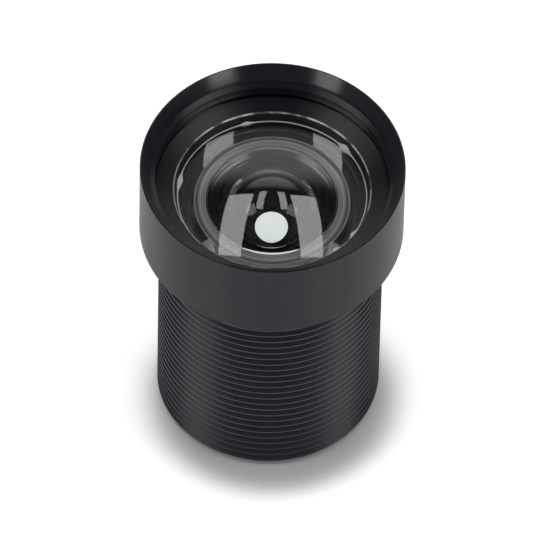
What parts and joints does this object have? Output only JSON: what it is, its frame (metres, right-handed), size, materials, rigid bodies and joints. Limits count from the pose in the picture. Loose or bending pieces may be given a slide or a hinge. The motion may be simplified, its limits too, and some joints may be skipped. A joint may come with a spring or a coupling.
{
  "type": "m12 board camera lens",
  "caption": "Fixed-focus camera lens for a board camera: black threaded barrel with a wide smooth head, a flared mouth, a retaining ring and a domed front glass over its inner glass stack.",
  "frame": {"origin": "centre of the rear end of the barrel, on the optical axis", "axes": "+Z along the optical axis, from the rear end towards the front glass; +X and +Y are free, because the object is round"},
  "size_m": [0.0142, 0.0142, 0.0184],
  "materials": {
    "black_anodised_aluminium": "satin black anodised, turned",
    "optical_glass": "polished optical glass",
    "black_rubber": "matt nitrile rubber",
    "black_film": "matt black polyester film",
    "blackened_metal": "matt blackened metal sheet",
    "filter_glass": "polished plane glass with an infrared-cut coating"
  },
  "bodies": {
    "root": {"barrel": "black_anodised_aluminium", "front_retaining_ring": "black_anodised_aluminium", "front_lens": "optical_glass", "front_seal_ring": "black_rubber", "front_spacer": "black_anodised_aluminium", "front_light_shield": "black_film", "second_lens": "optical_glass", "second_spacer": "black_anodised_aluminium", "third_lens": "optical_glass", "third_spacer": "black_anodised_aluminium", "aperture_stop": "blackened_metal", "stop_spacer": "black_anodised_aluminium", "doublet_crown": "optical_glass", "doublet_flint": "optical_glass", "fourth_spacer": "black_anodised_aluminium", "rear_light_shield": "black_film", "fifth_lens": "optical_glass", "rear_spacer": "black_anodised_aluminium", "rear_lens": "optical_glass", "infrared_filter": "filter_glass"}
  },
  "joints": []
}
